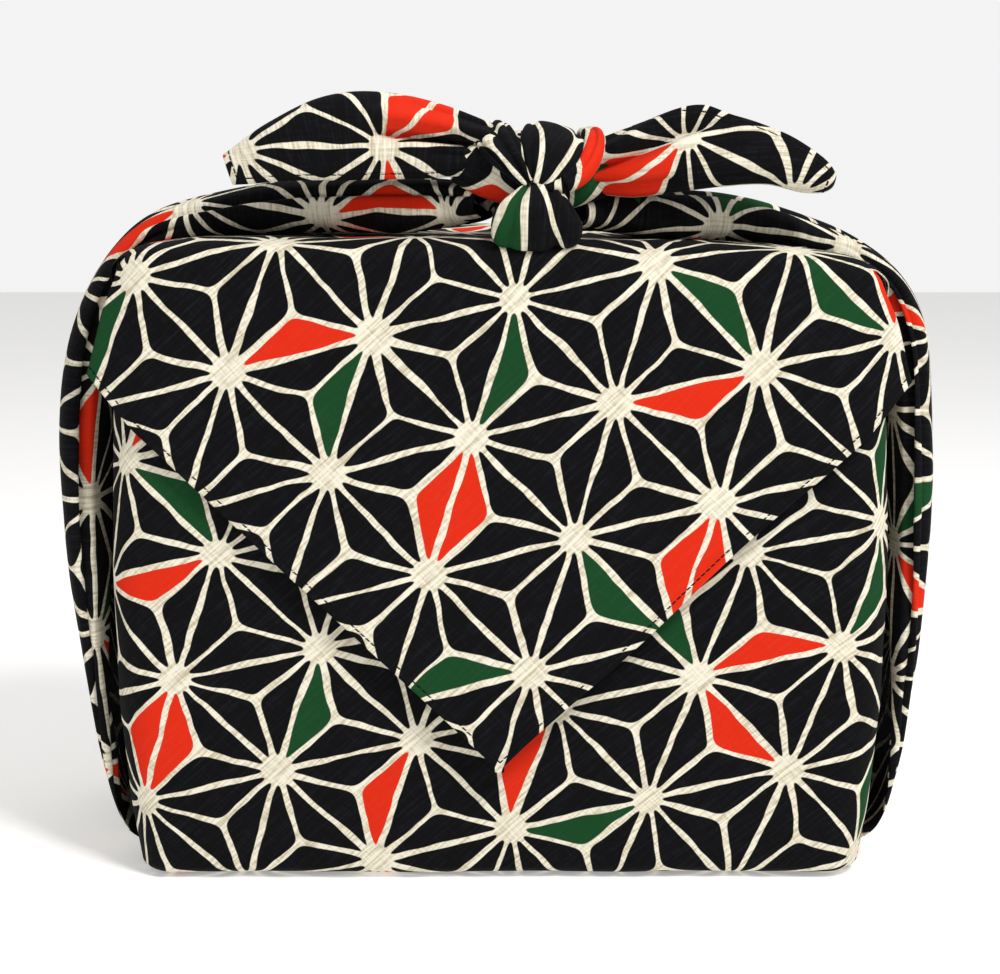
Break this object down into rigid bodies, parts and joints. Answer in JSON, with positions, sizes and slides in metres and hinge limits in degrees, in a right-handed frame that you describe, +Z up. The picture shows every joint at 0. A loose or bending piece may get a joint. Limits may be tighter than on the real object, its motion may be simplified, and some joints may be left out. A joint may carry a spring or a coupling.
{
  "type": "furoshiki wrap",
  "caption": "Square printed cotton cloth folded round a box shape, its corner hanging down the front as a triangle and its side corners tied on top in a square knot.",
  "frame": {"origin": "middle of the flat base that the wrap stands on", "axes": "+X along the straps towards the wing on the right as seen from the front, +Y from the front to the back, +Z up"},
  "size_m": [0.3794, 0.1643, 0.3311],
  "materials": {
    "printed_cotton": "matt slub-weave cotton printed in black and cream with red and green accents"
  },
  "bodies": {
    "root": {"wrap": "printed_cotton"}
  },
  "joints": []
}
